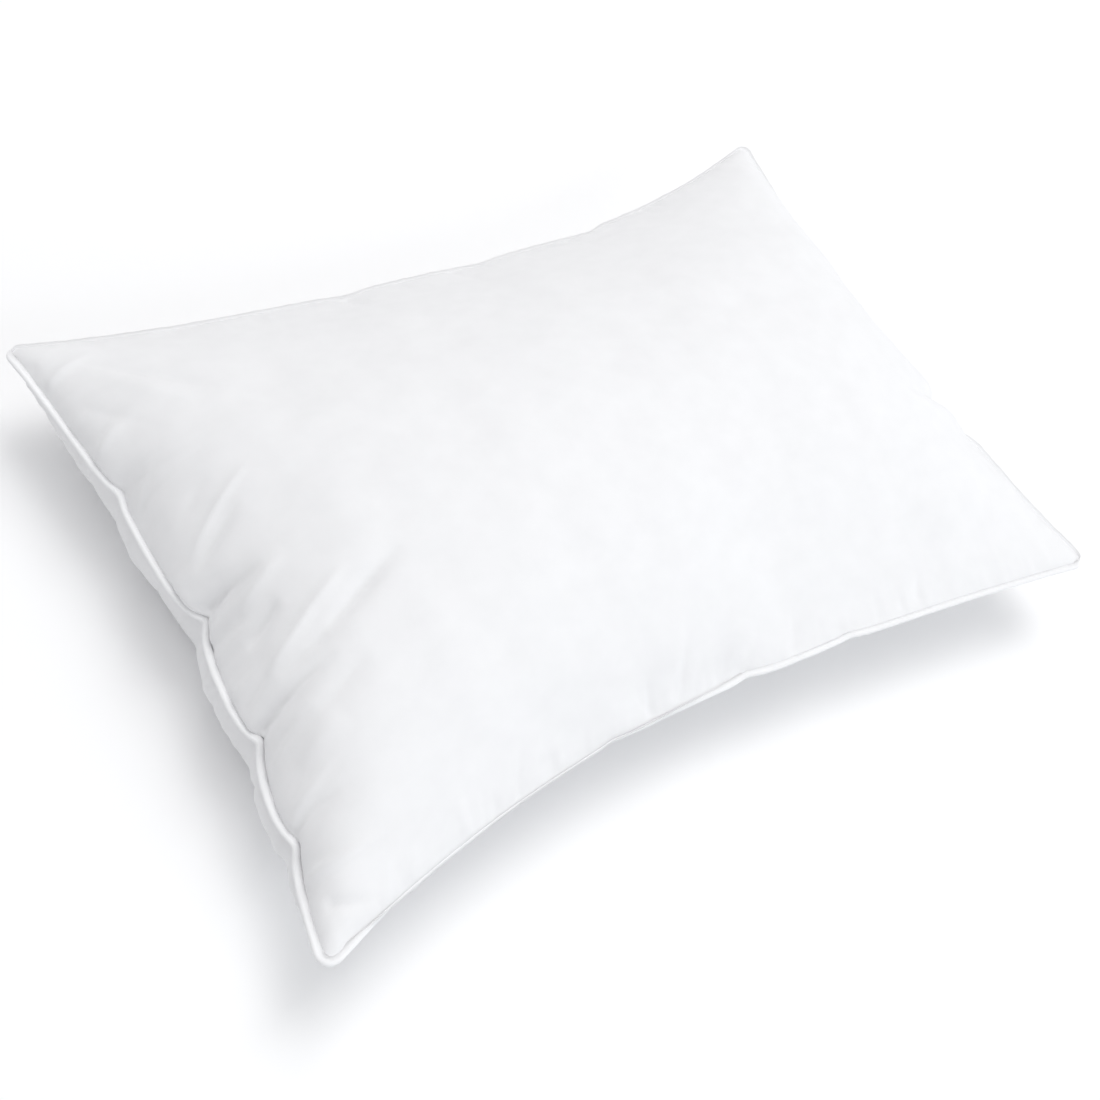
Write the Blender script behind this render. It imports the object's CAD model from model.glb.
import math

import bpy
import numpy as np
from mathutils import Matrix, Vector


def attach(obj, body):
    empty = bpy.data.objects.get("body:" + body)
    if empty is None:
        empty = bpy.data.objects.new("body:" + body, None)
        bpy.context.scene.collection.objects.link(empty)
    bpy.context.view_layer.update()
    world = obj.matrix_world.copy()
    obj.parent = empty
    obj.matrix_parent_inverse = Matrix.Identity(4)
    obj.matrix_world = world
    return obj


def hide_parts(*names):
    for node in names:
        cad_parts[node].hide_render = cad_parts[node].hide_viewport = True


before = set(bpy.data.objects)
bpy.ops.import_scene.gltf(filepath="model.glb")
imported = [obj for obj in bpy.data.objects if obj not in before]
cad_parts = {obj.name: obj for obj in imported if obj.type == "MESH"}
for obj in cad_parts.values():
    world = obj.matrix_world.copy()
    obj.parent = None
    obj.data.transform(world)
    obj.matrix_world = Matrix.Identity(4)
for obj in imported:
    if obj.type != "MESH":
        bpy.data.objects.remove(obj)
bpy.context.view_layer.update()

# The cover as it is sewn, flat and empty. Metres.
FLAT_LENGTH = 0.700
FLAT_WIDTH = 0.500
FLAT_CORNER = 0.010          # radius
CRIMP = 0.985                # cloth length over flat length once the weave has settled
CLOTH = 0.0006               # thickness

# Where the filling pulls the seam: half sizes at the corners and at the middle of each edge.
CORNER_X = 0.3345
CORNER_Y = 0.2395
END_X = 0.3130
SIDE_Y = 0.2000
SEAM_Z = 0.068
BACK_SWOOP = 2.6             # the higher, the later the back seam swings out to its corners
SEAM_SWAY = 0.0055           # both long sides sway back on the left and forward on the right
VOLUME = 0.0252              # filled volume, cubic metres

# Cloth taken up by gathers at the seam: left end, right end, left half of the front, other sides.
TOP_TAKE_UP = (0.004, 0.008, 0.026, 0.036)
BOTTOM_TAKE_UP = (-0.026, 0.014, 0.044, 0.036)

# Places where the seam steps: position along the edge, depth inward, drop, half width.
LEFT_STEPS = (
    (0.104, 0.005, 0.008, 0.018),
    (-0.010, 0.014, 0.016, 0.018),
    (-0.103, 0.011, 0.013, 0.016),
    (-0.176, 0.008, 0.010, 0.014),
)
RIGHT_STEPS = (
    (-0.078, 0.022, 0.008, 0.011),
    (-0.114, -0.014, 0.000, 0.022),
)
FRONT_STEPS = (
    (-0.105, 0.003, 0.000, 0.008),
    (0.015, 0.005, 0.004, 0.008),
    (0.110, 0.004, 0.003, 0.008),
)
BACK_STEPS = (
    (-0.090, 0.004, 0.003, 0.009),
    (0.030, 0.004, 0.003, 0.009),
    (0.140, 0.005, 0.003, 0.009),
)

STEP_TAIL = 1.8              # how much further a step fades out towards the front or the left
TIP = (0.40, 0.0, 0.25)      # sharp tip of a step at the left end, as a share of its depth
TIP_WIDTH = 0.007
TIP_REACH = (0.034, 0.012)   # how far the tip runs into the upper and into the lower panel

# Simulation stages: cell size, iterations, pull towards the seam line, resistance to bending.
STAGES = (
    (0.020, 400, 0.02, 0.010),
    (0.010, 260, 0.05, 0.010),
    (0.005, 160, 0.08, 0.012),
)
FINE_CELL = 0.0025
START_BULGE = 0.03           # half height of the empty cover at the start
KEEP_SPEED = 0.9
FALL = 2e-6                  # drop per iteration under its own weight
PUSH_BACK = 0.1              # how much the cloth resists being shortened
BIAS_PULL = 0.2              # how much it resists being stretched on the bias
BIAS_PUSH = 0.03             # and being shortened on the bias

# Folds of the upper panel on the flat cover: from, to, height (below zero is a crease), half width.
TOP_FOLDS = (
    ((-0.338, -0.008), (-0.278, -0.014), -0.0068, 0.0058),
    ((-0.322, 0.022), (-0.252, 0.060), 0.0021, 0.0026),
    ((-0.322, 0.012), (-0.270, 0.036), -0.0026, 0.0055),
    ((-0.318, 0.048), (-0.280, 0.066), -0.0014, 0.0050),
    ((-0.312, -0.078), (-0.262, -0.058), 0.0022, 0.0030),
    ((-0.284, -0.066), (-0.232, -0.044), 0.0022, 0.0034),
    ((-0.312, -0.030), (-0.262, -0.014), 0.0020, 0.0050),
    ((-0.305, -0.084), (-0.262, -0.078), -0.0026, 0.0055),
    ((-0.278, -0.082), (-0.196, -0.050), -0.0060, 0.0065),
    ((-0.318, -0.052), (-0.280, -0.040), -0.0040, 0.0060),
    ((-0.341, -0.101), (-0.262, -0.092), -0.0068, 0.0052),
    ((-0.290, -0.118), (-0.245, -0.105), -0.0020, 0.0090),
    ((-0.343, -0.171), (-0.298, -0.166), -0.0045, 0.0060),
    ((-0.318, -0.140), (-0.276, -0.128), 0.0025, 0.0090),
    ((-0.346, 0.102), (-0.292, 0.092), -0.0030, 0.0070),
    ((-0.318, 0.215), (-0.240, 0.130), -0.0028, 0.0080),
    ((-0.306, 0.190), (-0.258, 0.124), 0.0020, 0.0085),
    ((-0.325, 0.165), (-0.284, 0.112), -0.0016, 0.0080),
    ((-0.332, -0.222), (-0.302, -0.240), -0.0030, 0.0045),
    ((0.347, -0.078), (0.262, -0.068), -0.0130, 0.0100),
    ((-0.187, -0.246), (-0.177, -0.205), -0.0016, 0.0040),
    ((-0.072, -0.248), (-0.070, -0.214), -0.0026, 0.0042),
    ((-0.046, -0.246), (-0.027, -0.182), -0.0018, 0.0045),
    ((0.060, -0.246), (0.066, -0.212), -0.0014, 0.0040),
    ((0.140, -0.246), (0.142, -0.216), -0.0014, 0.0045),
    ((-0.098, 0.246), (-0.088, 0.206), -0.0020, 0.0045),
    ((0.000, 0.246), (0.008, 0.200), -0.0020, 0.0050),
    ((0.112, 0.246), (0.120, 0.200), -0.0024, 0.0050),
    ((0.200, 0.246), (0.198, 0.214), -0.0014, 0.0045),
)
# The same for the lower panel.
BOTTOM_FOLDS = (
    ((-0.338, -0.008), (-0.270, 0.006), -0.0018, 0.0060),
    ((-0.346, -0.018), (-0.318, -0.030), -0.0040, 0.0045),
    ((-0.346, -0.110), (-0.320, -0.120), -0.0030, 0.0045),
    ((-0.341, -0.100), (-0.280, -0.110), -0.0015, 0.0060),
    ((-0.343, -0.171), (-0.290, -0.180), -0.0012, 0.0055),
    ((-0.346, 0.102), (-0.280, 0.110), -0.0012, 0.0070),
    ((0.340, -0.075), (0.280, -0.080), -0.0045, 0.0080),
    ((0.345, 0.110), (0.300, 0.100), -0.0025, 0.0060),
    ((0.320, -0.222), (0.255, -0.150), -0.0035, 0.0100),
    ((0.322, 0.226), (0.250, 0.150), -0.0035, 0.0100),
    ((0.030, -0.246), (0.020, -0.205), -0.0024, 0.0050),
    ((-0.120, -0.246), (-0.118, -0.210), -0.0020, 0.0050),
    ((0.090, 0.246), (0.098, 0.205), -0.0020, 0.0050),
)
# Small folds at each edge: axis, side, how many, longest, highest.
SMALL_FOLDS = (
    (0, -1, 30, 0.070, 0.0017),
    (0, 1, 8, 0.035, 0.0010),
    (1, -1, 20, 0.032, 0.0011),
    (1, 1, 20, 0.032, 0.0011),
)
SMALL_FOLD_LEAN = 0.15       # sideways run of a small fold over its length
GATHER = 0.0006              # height of the small gathers along the seam
GATHER_REACH = 0.014         # how far they run into the panel
LUMPS = 0.00035              # unevenness of the filling
SMALL_FOLD_SEED = 31         # of the upper panel; the lower one takes the next
GATHER_SEED = 11
LUMP_SEED = 5
RELIEF_CLEAR = 0.004         # all relief fades towards the seam over this length
RIDGE_CLEAR = 0.012          # and large ridges over this one

FILLING_GAP = 0.002          # between the cloth and the filling
FILLING_STEP = 4             # the filling takes every fourth point of the cloth
FILLING_REACH = 5            # cells round a point whose creases it also keeps clear of

BEAD = 0.0018                # radius of the piping
BEAD_OUT = 1.1               # distance from the seam to its centre, in radii
BEAD_OUT_LEFT = 0.1          # more of it at the left end
BEAD_UNEVEN = 0.04           # share of its radius
BEAD_SIDES = 18
BEAD_SEED = 3
CORD = 0.0011                # radius
CORD_SIDES = 10
TURN_BACK = 110.0            # degrees that the piping turns under at the back and the right end
TURN_FRONT = 112.0           # and along the left half of the front
TURN_LEFT = -8.0             # it turns up at the left end
TURN_SMOOTHING = 24
FRONT_TURN_START = -0.325    # x where the front part starts, and the length over which it comes in
FRONT_TURN_RAMP = 0.05
FRONT_TURN_END = 0.06        # x where it ends, and the length over which it goes
FRONT_TURN_FADE = 0.12
OUTWARD_SMOOTHING = 12       # of the direction away from the pillow, and of the neck's lean
VALLEY = 0.0030              # most that the piping stands out where the seam lies in a valley
NECK = 1.6                   # reach of the piping cloth into the seam, in bead radii
NECK_LIFT = 42.0             # degrees that it leans to the upper panel at the left end

THREAD = 0.00025             # radius
SEAM_INSET = 2               # the seam's stitches lie this many cells inside the rim
SEAM_PITCH = 0.003
SEAM_STITCH = 0.0026         # length
SEAM_SPREAD = 0.0004         # height of the needle thread above the middle, and of the bobbin thread below
CLOSING_HALF = 0.1           # half length of the closing seam
CLOSING_INSET = 2            # it lies in the row before the last
CLOSING_PITCH = 0.004
CLOSING_STITCH = 0.003       # length
CLOSING_MARGIN = 0.002
LOOK_AHEAD = 0.001           # distance over which a stitch takes its direction

CAMERA_PLACE = (-0.4984, -0.3826, 0.8641)
CAMERA_TARGET = (-0.0630, -0.0546, 0.068)
CAMERA_ROLL = math.radians(25.0)
LAMP_TARGET = (0.0, 0.0, 0.1)
FLOOR_HALF = 20.0
FLOOR_DROP = 0.0005          # keeps the floor clear of the resting face


def flat_pattern(cell):
    """Grid of points on the flat cover, with its corners rounded."""
    count_x = round(FLAT_LENGTH / cell) + 1
    count_y = round(FLAT_WIDTH / cell) + 1
    along = np.linspace(-FLAT_LENGTH / 2, FLAT_LENGTH / 2, count_x)
    across = np.linspace(-FLAT_WIDTH / 2, FLAT_WIDTH / 2, count_y)
    x, y = np.meshgrid(along, across, indexing="ij")
    inner_x = FLAT_LENGTH / 2 - FLAT_CORNER
    inner_y = FLAT_WIDTH / 2 - FLAT_CORNER
    near_x = np.clip((np.abs(x) - inner_x) / FLAT_CORNER, 0, 1)
    near_y = np.clip((np.abs(y) - inner_y) / FLAT_CORNER, 0, 1)
    corner = (near_x > 0) & (near_y > 0)
    round_x = np.sign(x) * (inner_x + FLAT_CORNER * near_x * np.sqrt(1 - near_y**2 / 2))
    round_y = np.sign(y) * (inner_y + FLAT_CORNER * near_y * np.sqrt(1 - near_x**2 / 2))
    return np.stack([np.where(corner, round_x, x), np.where(corner, round_y, y)], -1)


def seam_steps(at, steps):
    """How far the seam moves inward and down along one edge."""
    inward = np.zeros_like(at)
    down = np.zeros_like(at)
    for place, depth, drop, half in steps:
        s = (at - place) / half
        s = np.where(s < 0, s / STEP_TAIL, s)
        inward += depth * np.exp(-np.abs(s))
        down += drop * 0.5 * np.tanh(3 * s) * np.exp(-np.abs(s) / 2)
    return inward, down


def front_left_share(u):
    """1 over the left half of the front, 0 at the corner and over the right half."""
    return np.clip((u + 1) / 0.3, 0, 1) * np.clip((0.25 - u) / 0.3, 0, 1)


def seam_line(flat):
    """Where each rim point of the pattern belongs on the filled pillow."""
    u = flat[..., 0] / (FLAT_LENGTH / 2)
    v = flat[..., 1] / (FLAT_WIDTH / 2)
    x = u * (END_X + (CORNER_X - END_X) * v**2)
    swoop = np.where(v > 0, BACK_SWOOP, 2.0)
    y = v * (SIDE_Y + (CORNER_Y - SIDE_Y) * np.abs(u) ** swoop)
    y = y - SEAM_SWAY * np.sin(math.pi * u) * np.abs(v)
    z = np.full_like(x, SEAM_Z)
    left_in, left_down = seam_steps(flat[..., 1], LEFT_STEPS)
    right_in, right_down = seam_steps(flat[..., 1], RIGHT_STEPS)
    front_in, front_down = seam_steps(flat[..., 0], FRONT_STEPS)
    back_in, back_down = seam_steps(flat[..., 0], BACK_STEPS)
    edge = 0.999
    x = x + np.where(u < -edge, left_in, 0) - np.where(u > edge, right_in, 0)
    y = y + np.where(v < -edge, front_in, 0) - np.where(v > edge, back_in, 0)
    z = z + np.where(u < -edge, left_down, 0) + np.where(u > edge, right_down, 0)
    z = z + np.where(v < -edge, front_down, 0) + np.where(v > edge, back_down, 0)
    return np.stack([x, y, z], -1)


def cut_pattern(flat, take_up):
    """Working pattern of one panel, with the cloth lost in gathers taken off."""
    left, right, front_left, sides = take_up
    u = flat[..., 0] / (FLAT_LENGTH / 2)
    v = flat[..., 1] / (FLAT_WIDTH / 2)
    end = np.where(u < 0, left, right)
    side = sides + (front_left - sides) * front_left_share(u) * (v < 0)
    x = flat[..., 0] * CRIMP - u * end * (1 - v**4)
    y = flat[..., 1] * CRIMP - v * side * (1 - u**2)
    return np.stack([x, y], -1)


def refine(grid, shape):
    """Smooth resampling of a grid of points to another size."""
    for axis in (0, 1):
        source = np.moveaxis(grid, axis, 0)
        last = source.shape[0] - 1
        t = np.linspace(0, last, shape[axis])
        i = np.clip(np.floor(t).astype(int), 0, last - 1)
        f = (t - i)[:, None, None]
        before = source[np.maximum(i - 1, 0)]
        here = source[i]
        there = source[i + 1]
        after = source[np.minimum(i + 2, last)]
        before = np.where((i == 0)[:, None, None], 2 * here - there, before)
        after = np.where((i == last - 1)[:, None, None], 2 * there - here, after)
        slope = there - before
        bend = 2 * before - 5 * here + 4 * there - after
        turn = after - before + 3 * (here - there)
        result = here + 0.5 * f * (slope + f * (bend + f * turn))
        grid = np.moveaxis(result, 0, axis)
    return grid


def cross(a, b):
    """Cross products of two arrays of vectors."""
    return np.stack([
        a[..., 1] * b[..., 2] - a[..., 2] * b[..., 1],
        a[..., 2] * b[..., 0] - a[..., 0] * b[..., 2],
        a[..., 0] * b[..., 1] - a[..., 1] * b[..., 0],
    ], -1)


def outward(points):
    """Area-weighted outward vectors of both panels, and the volume between the panels."""
    side = np.array([1.0, -1.0])[:, None, None, None]
    one = points[:, 1:, 1:] - points[:, :-1, :-1]
    other = points[:, :-1, 1:] - points[:, 1:, :-1]
    face = cross(one, other) * 0.5 * side
    centre = (points[:, 1:, 1:] + points[:, :-1, :-1] + points[:, :-1, 1:] + points[:, 1:, :-1]) / 4
    share = face / 4
    total = np.zeros_like(points)
    total[:, :-1, :-1] += share
    total[:, 1:, 1:] += share
    total[:, 1:, :-1] += share
    total[:, :-1, 1:] += share
    return total, float((face * centre).sum() / 3)


def bending(points):
    """Fourth differences along both directions of the grid."""
    along = np.zeros_like(points)
    across = np.zeros_like(points)
    result = np.zeros_like(points)
    along[:, 1:-1] = (points[:, 2:] + points[:, :-2]) / 2 - points[:, 1:-1]
    across[:, :, 1:-1] = (points[:, :, 2:] + points[:, :, :-2]) / 2 - points[:, :, 1:-1]
    result[:, 1:-1] += (along[:, 2:] + along[:, :-2]) / 2 - along[:, 1:-1]
    result[:, :, 1:-1] += (across[:, :, 2:] + across[:, :, :-2]) / 2 - across[:, :, 1:-1]
    return result


def threads(pattern):
    """Pairs of neighbouring points with their lengths in the flat cloth."""
    everything = slice(None)
    count_x = pattern.shape[1]
    count_y = pattern.shape[2]
    pairs = []
    for start in (0, 1):
        here = slice(start, count_x - 1, 2)
        there = slice(start + 1, count_x, 2)
        low = slice(start, count_y - 1, 2)
        high = slice(start + 1, count_y, 2)
        pairs.append(((everything, here, everything), (everything, there, everything), False))
        pairs.append(((everything, everything, low), (everything, everything, high), False))
        for first, second in ((slice(0, -1), slice(1, None)), (slice(1, None), slice(0, -1))):
            pairs.append(((everything, here, first), (everything, there, second), True))
    return [(a, b, np.linalg.norm(pattern[a] - pattern[b], axis=-1)[..., None], bias)
            for a, b, bias in pairs]


def meet_at_rim(points, rim):
    """Keep both panels joined along the seam."""
    middle = points[:, rim].mean(0)
    points[:, rim] = middle


def empty_cover(flat):
    """Both panels before filling: the flat cover with a slight bulge."""
    u = flat[..., 0] / (FLAT_LENGTH / 2)
    v = flat[..., 1] / (FLAT_WIDTH / 2)
    bulge = START_BULGE * np.sqrt(np.clip(1 - u**2, 0, 1) * np.clip(1 - v**2, 0, 1))
    points = np.zeros((2,) + flat.shape[:2] + (3,))
    points[..., :2] = flat
    points[0, ..., 2] = SEAM_Z + bulge
    points[1, ..., 2] = SEAM_Z - bulge
    return points


def simulate():
    """Fill the flat cover and let it settle on the floor. Returns the fine grid and both panels."""
    points = None
    for cell, rounds, hold, stiffness in STAGES:
        flat = flat_pattern(cell)
        rim = np.zeros(flat.shape[:2], bool)
        rim[[0, -1], :] = True
        rim[:, [0, -1]] = True
        if points is None:
            points = empty_cover(flat)
        else:
            points = np.stack([refine(panel, flat.shape[:2]) for panel in points])
        pattern = np.stack([cut_pattern(flat, TOP_TAKE_UP), cut_pattern(flat, BOTTOM_TAKE_UP)])
        pairs = threads(pattern)
        goal = seam_line(flat)[rim]
        meet_at_rim(points, rim)
        previous = points.copy()
        start_volume = outward(points)[1]
        for i in range(rounds):
            speed = (points - previous) * KEEP_SPEED
            previous = points.copy()
            points += speed
            points[..., 2] -= FALL
            for a, b, rest, bias in pairs:
                gap = points[b] - points[a]
                length = np.sqrt(np.einsum("...i,...i", gap, gap))[..., None]
                excess = length - rest
                pull, push = (BIAS_PULL, BIAS_PUSH) if bias else (1.0, PUSH_BACK)
                gap *= 0.5 * np.where(excess > 0, pull, push) * excess / np.maximum(length, 1e-9)
                points[a] += gap
                points[b] -= gap
            points -= stiffness * bending(points)
            push_out, volume = outward(points)
            push_out[:, rim] = push_out[:, rim].sum(0)
            wanted = start_volume + (VOLUME - start_volume) * min(1.0, 2 * (i + 1) / rounds)
            points += push_out * ((wanted - volume) / float((push_out * push_out).sum()))
            np.maximum(points[..., 2], 0.0, out=points[..., 2])
            meet_at_rim(points, rim)
            points[:, rim] += hold * (goal - points[:, rim])
    fine = flat_pattern(FINE_CELL)
    return fine, np.stack([refine(panel, fine.shape[:2]) for panel in points])


def unit(vectors):
    """Vectors scaled to length one."""
    return vectors / np.maximum(np.linalg.norm(vectors, axis=-1, keepdims=True), 1e-12)


def rim_loop(grid):
    """The rim of a grid as one closed row, anticlockwise from the front left corner."""
    return np.concatenate([grid[:-1, 0], grid[-1, :-1], grid[:0:-1, -1], grid[0, :0:-1]])


def inner_loop(grid, steps):
    """Points some steps inside the rim, matching rim_loop."""
    last_x = grid.shape[0] - 1
    last_y = grid.shape[1] - 1
    index_x, index_y = np.meshgrid(np.arange(last_x + 1), np.arange(last_y + 1), indexing="ij")
    index = rim_loop(np.stack([index_x, index_y], -1))
    inside_x = np.clip(index[:, 0], steps, last_x - steps)
    inside_y = np.clip(index[:, 1], steps, last_y - steps)
    return grid[inside_x, inside_y]


def loop_tangent(loop):
    """Directions along a closed row of points."""
    return unit(np.roll(loop, -1, 0) - np.roll(loop, 1, 0))


def distances(path):
    """Distance of each point of a path from its start."""
    return np.concatenate([[0], np.cumsum(np.linalg.norm(np.diff(path, axis=0), axis=1))])


def along_path(at, length, path):
    """Points of a path at given distances from its start."""
    return np.stack([np.interp(at, length, path[:, k]) for k in range(3)], -1)


def smooth_loop(loop, times):
    """Closed row of points or values with short waves taken out."""
    for _ in range(times):
        loop = (np.roll(loop, 1, 0) + 2 * loop + np.roll(loop, -1, 0)) / 4
    return loop


def even_loop(loop, spacing):
    """Closed row of points laid out again at even distances."""
    closed = np.vstack([loop, loop[:1]])
    length = distances(closed)
    count = round(length[-1] / spacing)
    return along_path(np.arange(count) * length[-1] / count, length, closed)


def make_mesh(name, points, faces, uv=None):
    """Smooth-shaded mesh object from arrays."""
    mesh = bpy.data.meshes.new(name)
    mesh.from_pydata(points.tolist(), [], faces.tolist())
    if uv is not None:
        layer = mesh.uv_layers.new(name="cloth")
        loops = np.empty(len(mesh.loops), np.int32)
        mesh.loops.foreach_get("vertex_index", loops)
        layer.data.foreach_set("uv", uv[loops].astype(np.float32).ravel())
    mesh.polygons.foreach_set("use_smooth", np.full(len(mesh.polygons), True))
    mesh.update()
    piece = bpy.data.objects.new(name, mesh)
    bpy.context.collection.objects.link(piece)
    return piece


def grid_faces(rows, columns, offset, flip):
    """Quads between neighbouring points of a grid stored row by row."""
    index = np.arange(rows * columns).reshape(rows, columns) + offset
    quads = np.stack([index[:-1, :-1], index[1:, :-1], index[1:, 1:], index[:-1, 1:]], -1)
    quads = quads.reshape(-1, 4)
    return quads[:, ::-1] if flip else quads


def ring_faces(rows, columns, closed_rows):
    """Quads of a tube: columns close on themselves, and rows too if wanted."""
    index = np.arange(rows * columns).reshape(rows, columns)
    index = np.concatenate([index, index[:, :1]], 1)
    if closed_rows:
        index = np.concatenate([index, index[:1]], 0)
    quads = np.stack([index[:-1, :-1], index[:-1, 1:], index[1:, 1:], index[1:, :-1]], -1)
    return quads.reshape(-1, 4)


def closed_faces(rows, columns, flip):
    """Quads of a closed body between two grids of one size: both grids and the border round them."""
    count = rows * columns
    edge = rim_loop(np.arange(count).reshape(rows, columns)[..., None])[:, 0]
    following = np.roll(edge, -1)
    border = np.stack([edge, edge + count, following + count, following], -1)
    return np.concatenate([
        grid_faces(rows, columns, 0, flip),
        grid_faces(rows, columns, count, not flip),
        border[:, ::-1] if flip else border,
    ])


def cloth_shell(name, surface, flat, normals, underside):
    """One panel as a closed piece of cloth: outer face, inner face and edge."""
    points = np.concatenate([surface.reshape(-1, 3), (surface - normals * CLOTH).reshape(-1, 3)])
    uv = np.concatenate([flat.reshape(-1, 2)] * 2)
    return make_mesh(name, points, closed_faces(*surface.shape[:2], underside), uv)


def bar(name, path, across, up, radius, sides, neck=0.0):
    """Round closed bar along a path, drawn out on its inner side by a neck of so many radii."""
    angle = np.arange(sides) * 2 * math.pi / sides
    radius = np.broadcast_to(np.asarray(radius, float), (len(path),))[:, None, None]
    ring = np.cos(angle)[:, None] * across[:, None] + np.sin(angle)[:, None] * up[:, None]
    reach = np.where(np.arange(sides) == sides // 2, 1 + neck, 1.0)
    points = path[:, None] + radius * reach[:, None] * ring
    uv = np.stack(np.broadcast_arrays(distances(path)[:, None], angle[None] * radius[:, 0]), -1)
    faces = ring_faces(len(path), sides, True)
    return make_mesh(name, points.reshape(-1, 3), faces, uv.reshape(-1, 2))


def stitches(name, places, along, radius, length):
    """Row of separate stitches, each a short rounded bar."""
    sides = 8
    # Position along the stitch over its length, and width over its thickness.
    profile = ((-0.5, 0.02), (-0.46, 0.7), (-0.3, 1.0), (0.3, 1.0), (0.46, 0.7), (0.5, 0.02))
    up = np.tile([0.0, 0.0, 1.0], (len(places), 1))
    across = unit(np.cross(along, up))
    up = np.cross(across, along)
    angle = np.arange(sides) * 2 * math.pi / sides
    points = []
    faces = []
    for i, place in enumerate(places):
        rows = []
        for reach, width in profile:
            ring = np.cos(angle)[:, None] * across[i] + np.sin(angle)[:, None] * up[i]
            rows.append(place + along[i] * reach * length + ring * radius * width)
        points.append(np.concatenate(rows))
        faces.append(ring_faces(len(profile), sides, False) + i * len(profile) * sides)
    return make_mesh(name, np.concatenate(points), np.concatenate(faces))


def waves(at, seed, lengths):
    """Smooth repeatable noise from a few sine waves, roughly between -1 and 1."""
    random = np.random.default_rng(seed)
    total = np.zeros_like(at)
    for length in lengths:
        stretch = random.uniform(0.85, 1.15)
        phase = random.uniform(0, 6.28)
        total += np.sin(2 * math.pi * at / length * stretch + phase)
    return total / len(lengths) ** 0.5


def fold_relief(flat, folds):
    """Height of creases and ridges on the flat cover. One that starts at the seam is highest there."""
    relief = np.zeros(flat.shape[:2])
    for start, end, height, half in folds:
        start = np.array(start)
        line = np.array(end) - start
        t = np.clip(((flat - start) @ line) / (line @ line), 0, 1)
        away = np.linalg.norm(flat - start - t[..., None] * line, axis=-1) / half
        from_seam = min(FLAT_LENGTH / 2 - abs(start[0]), FLAT_WIDTH / 2 - abs(start[1]))
        at_seam = from_seam < 0.025
        fade = np.cos(math.pi / 2 * t) if at_seam else np.sin(math.pi * t)
        across = np.exp(-away**2) if height > 0 else np.exp(-away**1.3)
        relief += height * across * fade
    return relief


def small_folds(seed):
    """Short creases and ridges scattered along the seam: most of them at the left end."""
    random = np.random.default_rng(seed)
    ends = np.array([FLAT_LENGTH, FLAT_WIDTH]) / 2
    folds = []
    for axis, sign, count, length, height in SMALL_FOLDS:
        for _ in range(count):
            near = np.empty(2)
            near[axis] = sign * (ends[axis] - random.uniform(0.004, 0.016))
            near[1 - axis] = random.uniform(-0.92, 0.92) * ends[1 - axis]
            reach = length * random.uniform(0.35, 1.0)
            far = near.copy()
            far[axis] -= sign * reach
            far[1 - axis] += reach * random.normal(SMALL_FOLD_LEAN, 0.3)
            size = height * random.uniform(0.4, 1.0) * random.choice((-1, 1))
            folds.append((near, far, size, random.uniform(0.0028, 0.0048)))
    return folds


def gather_relief(flat, seed):
    """Small gathers that stand across the seam and fade away from it."""
    to_end = FLAT_LENGTH / 2 - np.abs(flat[..., 0])
    to_side = FLAT_WIDTH / 2 - np.abs(flat[..., 1])
    short_waves = (0.009, 0.014, 0.023)
    along_end = waves(flat[..., 1] + 3 * (flat[..., 0] > 0), seed, short_waves)
    along_side = waves(flat[..., 0] + 5 * (flat[..., 1] > 0), seed + 1, short_waves)
    strong = 0.6 + 0.4 * waves(flat[..., 0] + flat[..., 1], seed + 2, (0.11, 0.07))
    corner_clear = 0.03
    from_end = along_end * np.exp(-to_end / GATHER_REACH) * (1 - np.exp(-to_side / corner_clear))
    from_side = along_side * np.exp(-to_side / GATHER_REACH) * (1 - np.exp(-to_end / corner_clear))
    return GATHER * strong * (from_end + from_side)


def lump_relief(flat, seed):
    """Soft unevenness of the filling seen through the cloth."""
    random = np.random.default_rng(seed)
    relief = np.zeros(flat.shape[:2])
    for length in (0.12, 0.09, 0.07, 0.055, 0.045, 0.038, 0.11, 0.06):
        angle = random.uniform(0, math.pi)
        phase = random.uniform(0, 2 * math.pi)
        at = flat[..., 0] * math.cos(angle) + flat[..., 1] * math.sin(angle)
        relief += length * np.sin(2 * math.pi * at / length + phase)
    return LUMPS * relief / 0.1


def deepest(depth, reach):
    """Greatest depth within so many cells of each point, at least zero."""
    padded = np.pad(np.maximum(depth, 0), reach)
    rows, columns = depth.shape
    found = np.zeros_like(depth)
    for i in range(2 * reach + 1):
        for j in range(2 * reach + 1):
            found = np.maximum(found, padded[i:i + rows, j:j + columns])
    return found


def value(node, name, amount):
    """Set one input of a shader node."""
    node.inputs[name].default_value = amount


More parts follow.
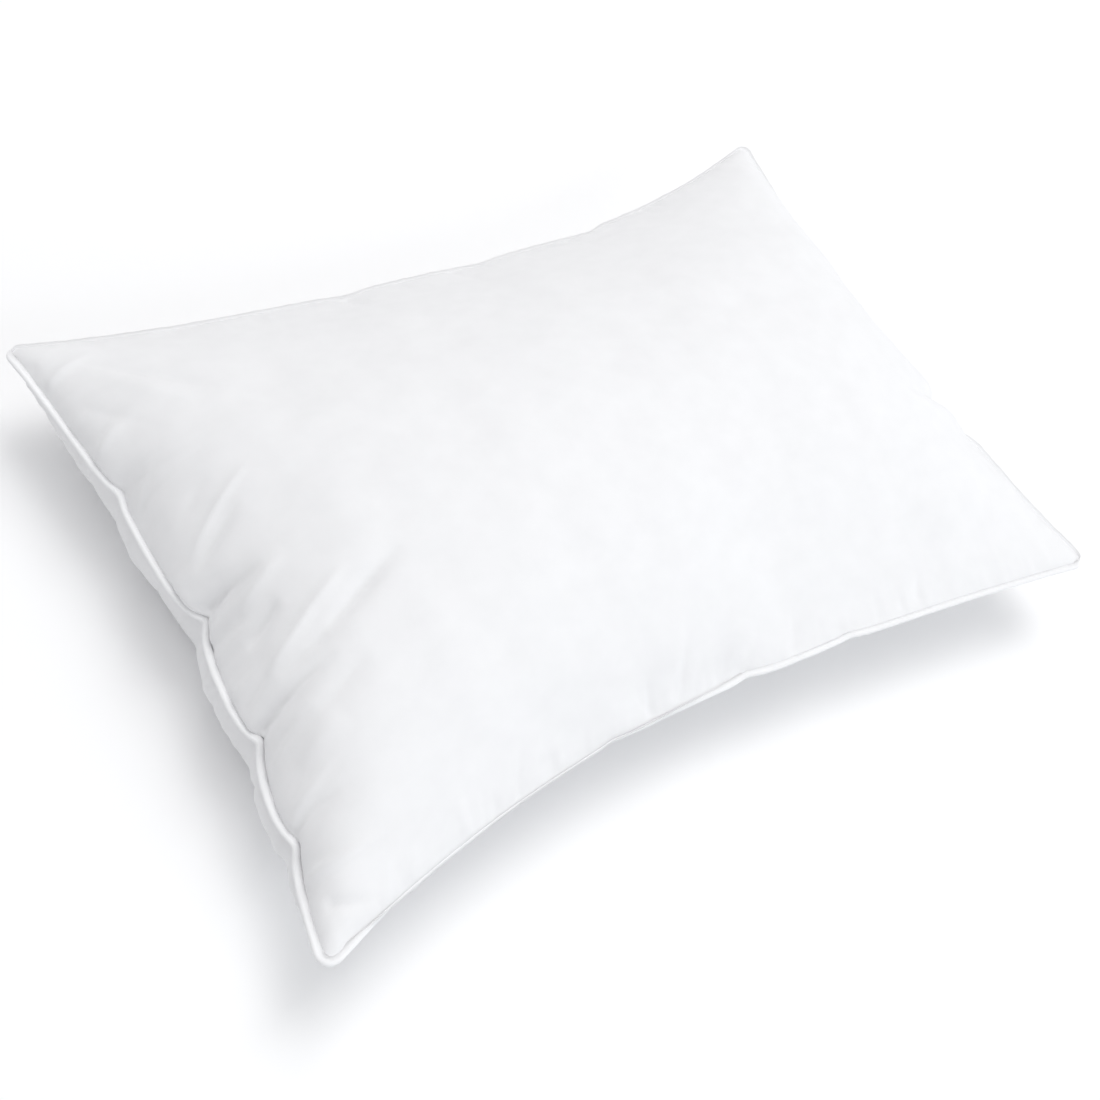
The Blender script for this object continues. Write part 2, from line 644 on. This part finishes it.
def cotton(name, colour, fuzz):
    """Woven cotton: two crossing sets of threads, slight unevenness, soft sheen."""
    thread_pitch = 0.00035
    weave_depth = 0.0001
    bands_per_scale = 0.314      # pitch of the wave texture's bands at a scale of one
    darker = 0.975               # colour of the thinner patches over that of the rest
    material = bpy.data.materials.new(name)
    material.use_nodes = True
    nodes = material.node_tree.nodes
    links = material.node_tree.links
    shader = nodes["Principled BSDF"]
    value(shader, "Roughness", 0.85)
    value(shader, "Specular IOR Level", 0.2)
    value(shader, "Sheen Weight", fuzz)
    value(shader, "Sheen Roughness", 0.6)
    coordinates = nodes.new("ShaderNodeUVMap")
    coordinates.uv_map = "cloth"
    bands = []
    for direction in ("X", "Y"):
        wave = nodes.new("ShaderNodeTexWave")
        wave.wave_type = "BANDS"
        wave.bands_direction = direction
        value(wave, "Scale", bands_per_scale / thread_pitch)
        value(wave, "Distortion", 0.6)
        value(wave, "Detail", 1.0)
        value(wave, "Detail Scale", 0.7)
        links.new(coordinates.outputs["UV"], wave.inputs["Vector"])
        bands.append(wave)
    weave = nodes.new("ShaderNodeMath")
    weave.operation = "MAXIMUM"
    links.new(bands[0].outputs["Fac"], weave.inputs[0])
    links.new(bands[1].outputs["Fac"], weave.inputs[1])
    uneven = nodes.new("ShaderNodeTexNoise")
    value(uneven, "Scale", 55.0)
    value(uneven, "Detail", 3.0)
    links.new(coordinates.outputs["UV"], uneven.inputs["Vector"])
    tint = nodes.new("ShaderNodeValToRGB")
    tint.color_ramp.elements[0].position = 0.3
    tint.color_ramp.elements[0].color = tuple(c * darker for c in colour) + (1.0,)
    tint.color_ramp.elements[1].position = 0.7
    tint.color_ramp.elements[1].color = tuple(colour) + (1.0,)
    links.new(uneven.outputs["Fac"], tint.inputs["Fac"])
    links.new(tint.outputs["Color"], shader.inputs["Base Color"])
    bump = nodes.new("ShaderNodeBump")
    value(bump, "Strength", 0.35)
    value(bump, "Distance", weave_depth)
    links.new(weave.outputs["Value"], bump.inputs["Height"])
    links.new(bump.outputs["Normal"], shader.inputs["Normal"])
    return material


def softbox(name, location, size, power, colour):
    """Square area light aimed at the pillow."""
    data = bpy.data.lights.new(name, "AREA")
    data.shape = "SQUARE"
    data.size = size
    data.energy = power
    data.color = colour
    lamp = bpy.data.objects.new(name, data)
    bpy.context.collection.objects.link(lamp)
    lamp.location = location
    aim = Vector(LAMP_TARGET) - Vector(location)
    lamp.rotation_euler = aim.to_track_quat("-Z", "Y").to_euler()


def plain(name, colour, roughness):
    """Even, matt colour."""
    material = bpy.data.materials.new(name)
    material.use_nodes = True
    shader = material.node_tree.nodes["Principled BSDF"]
    value(shader, "Base Color", tuple(colour) + (1.0,))
    value(shader, "Roughness", roughness)
    value(shader, "Specular IOR Level", 0.2)
    return material


def finish_piece(piece, material, node):
    """Material, place in the frame and the CAD node the piece stands for."""
    piece.data.materials.append(material)
    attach(piece, "root")
    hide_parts(node)


# The filled cover.
flat, panels = simulate()
normals = unit(outward(panels)[0])
to_seam = np.minimum(FLAT_LENGTH / 2 - np.abs(flat[..., 0]), FLAT_WIDTH / 2 - np.abs(flat[..., 1]))
core = np.empty_like(panels)
for side, folds in enumerate((TOP_FOLDS, BOTTOM_FOLDS)):
    relief = fold_relief(flat, folds)
    relief = np.where(relief > 0, relief * (1 - np.exp(-to_seam / RIDGE_CLEAR)), relief)
    relief += fold_relief(flat, small_folds(SMALL_FOLD_SEED + side))
    relief += gather_relief(flat, GATHER_SEED + side) + lump_relief(flat, LUMP_SEED + side)
    relief *= 1 - np.exp(-to_seam / RELIEF_CLEAR)
    inset = FILLING_GAP + deepest(-relief, FILLING_REACH)
    core[side] = panels[side] - normals[side] * inset[..., None]
    panels[side] += normals[side] * relief[..., None]

# Sharp tips of the seam's steps at the left end, on both panels.
from_left = flat[..., 0] + FLAT_LENGTH / 2
reach = np.array(TIP_REACH)[:, None, None]
for place, depth, _, _ in LEFT_STEPS:
    peak = np.exp(-np.abs(flat[..., 1] - place) / TIP_WIDTH - from_left / reach)
    panels += peak[..., None] * depth * np.array(TIP)
panels[1, ..., 2] = np.maximum(panels[1, ..., 2], 0.0)
normals = unit(outward(panels)[0])

ticking = cotton("ticking", (0.885, 0.885, 0.895), fuzz=0.25)
piping_cloth = cotton("piping_cloth", (0.91, 0.91, 0.92), fuzz=0.2)
cord_fibre = plain("cord", (0.85, 0.84, 0.80), 0.9)
sewing_thread = plain("thread", (0.93, 0.93, 0.93), 0.6)
wadding = plain("filling", (0.88, 0.87, 0.85), 0.95)

top_panel = cloth_shell("top_panel_cloth", panels[0], flat, normals[0], False)
finish_piece(top_panel, ticking, "top_panel")
bottom_panel = cloth_shell("bottom_panel_cloth", panels[1], flat, normals[1], True)
finish_piece(bottom_panel, ticking, "bottom_panel")

# Piping: follows the seam and turns under it except at the left end and the right half of the front.
rim = smooth_loop(rim_loop(panels[0]), 1)
across_seam = inner_loop(panels[0], 2) - inner_loop(panels[1], 2)
away = unit(np.cross(loop_tangent(rim), across_seam))
away = unit(smooth_loop(away, OUTWARD_SMOOTHING))
up = unit(np.cross(away, loop_tangent(rim)))
at_back = np.clip(np.clip(away[:, 1], 0, 1) + np.clip(away[:, 0], 0, 1), 0, 1)
at_left = np.clip(-away[:, 0], 0, 1)
past_corner = np.clip((rim[:, 0] - FRONT_TURN_START) / FRONT_TURN_RAMP, 0, 1)
before_middle = np.clip((FRONT_TURN_END - rim[:, 0]) / FRONT_TURN_FADE, 0, 1)
at_front_left = np.clip(-away[:, 1], 0, 1) * before_middle * past_corner
turn = TURN_BACK * at_back + TURN_FRONT * at_front_left + TURN_LEFT * at_left
turn = smooth_loop(np.radians(turn[:, None]), TURN_SMOOTHING)

# Where the panels beside it stand out past the rim, the seam lies in a valley.
beside = [np.sum((inner_loop(panel, k) - rim) * away, -1) for panel in panels for k in (1, 2)]
valley = smooth_loop((np.clip(np.max(beside, axis=0), 0, VALLEY) * at_left)[:, None], 3)
away = unit(away * np.cos(turn) - up * np.sin(turn))
stand_out = BEAD * (BEAD_OUT + BEAD_OUT_LEFT * at_left[:, None]) + valley
bead_line = smooth_loop(rim + away * stand_out, 2)
bead_tangent = loop_tangent(bead_line)
bead_up = unit(np.cross(away, bead_tangent))
bead_out = np.cross(bead_tangent, bead_up)
thickness = BEAD * (1 + BEAD_UNEVEN * waves(distances(bead_line), BEAD_SEED, (0.021, 0.013, 0.034)))
lean = np.radians(NECK_LIFT) * smooth_loop(at_left[:, None], OUTWARD_SMOOTHING)
neck_out = bead_out * np.cos(lean) - bead_up * np.sin(lean)
neck_up = bead_up * np.cos(lean) + bead_out * np.sin(lean)
piping = bar("piping_cover_cloth", bead_line, neck_out, neck_up, thickness, BEAD_SIDES, NECK)
finish_piece(piping, piping_cloth, "piping_cover")
cord = bar("piping_cord_core", bead_line, bead_out, bead_up, CORD, CORD_SIDES)
finish_piece(cord, cord_fibre, "piping_cord")

# Seam stitches, inside the cover behind the piping.
sewing = (inner_loop(panels[0], SEAM_INSET) + inner_loop(panels[1], SEAM_INSET)) / 2
sewing = even_loop(smooth_loop(sewing, 4), SEAM_PITCH)
for name, node, shift in (("seam_needle_stitches", "seam_needle_thread", SEAM_SPREAD),
                          ("seam_bobbin_stitches", "seam_bobbin_thread", -SEAM_SPREAD)):
    row = sewing + np.array([0.0, 0.0, shift])
    stitched = stitches(name, row, loop_tangent(sewing), THREAD, SEAM_STITCH)
    finish_piece(stitched, sewing_thread, node)

# Closing seam in the middle of the right end, on both faces.
for side, name, node in ((0, "closing_needle_stitches", "closing_needle_thread"),
                         (1, "closing_bobbin_stitches", "closing_bobbin_thread")):
    middle = np.abs(flat[-CLOSING_INSET, :, 1]) < CLOSING_HALF
    line = (panels[side] + normals[side] * THREAD)[-CLOSING_INSET][middle]
    length = distances(line)
    at = np.arange(CLOSING_MARGIN, length[-1] - CLOSING_MARGIN, CLOSING_PITCH)
    places = along_path(at, length, line)
    ahead = along_path(at + LOOK_AHEAD, length, line)
    stitched = stitches(name, places, unit(ahead - places), THREAD, CLOSING_STITCH)
    finish_piece(stitched, sewing_thread, node)

# Filling, just inside the cloth.
inside = core[:, ::FILLING_STEP, ::FILLING_STEP][:, 1:-1, 1:-1]
filling_faces = closed_faces(inside.shape[1], inside.shape[2], False)
filling = make_mesh("filling_wadding", inside.reshape(-1, 3), filling_faces)
finish_piece(filling, wadding, "filling")

# Floor, light and camera.
corners = [(x * FLOOR_HALF, y * FLOOR_HALF, 0) for x, y in ((-1, -1), (1, -1), (1, 1), (-1, 1))]
floor_mesh = bpy.data.meshes.new("floor")
floor_mesh.from_pydata(corners, [], [(0, 1, 2, 3)])
floor = bpy.data.objects.new("floor", floor_mesh)
bpy.context.collection.objects.link(floor)
floor.location.z = -FLOOR_DROP
floor_mesh.materials.append(plain("floor", (0.97, 0.97, 0.975), 0.9))

world = bpy.data.worlds.new("studio")
bpy.context.scene.world = world
world.use_nodes = True
background = world.node_tree.nodes["Background"]
value(background, "Color", (0.98, 0.985, 1.0, 1.0))
value(background, "Strength", 0.52)

softbox("key", (1.8, 1.3, 4.9), 3.2, 106.0, (1.0, 0.996, 0.99))
softbox("overhead", (0.0, 0.6, 5.0), 4.0, 50.0, (1.0, 1.0, 1.0))
softbox("front", (1.4, -4.0, 2.0), 2.8, 60.0, (0.93, 0.97, 1.0))

camera_data = bpy.data.cameras.new("camera")
camera_data.lens = 44.8
camera_data.sensor_width = 36.0
camera_data.clip_start = 0.02
camera = bpy.data.objects.new("camera", camera_data)
bpy.context.collection.objects.link(camera)
sight = Vector(CAMERA_TARGET) - Vector(CAMERA_PLACE)
aim = sight.to_track_quat("-Z", "Y").to_matrix().to_4x4()
roll = Matrix.Rotation(CAMERA_ROLL, 4, "Z")
camera.matrix_world = Matrix.Translation(CAMERA_PLACE) @ aim @ roll
bpy.context.scene.camera = camera
bpy.context.scene.view_settings.view_transform = "Standard"
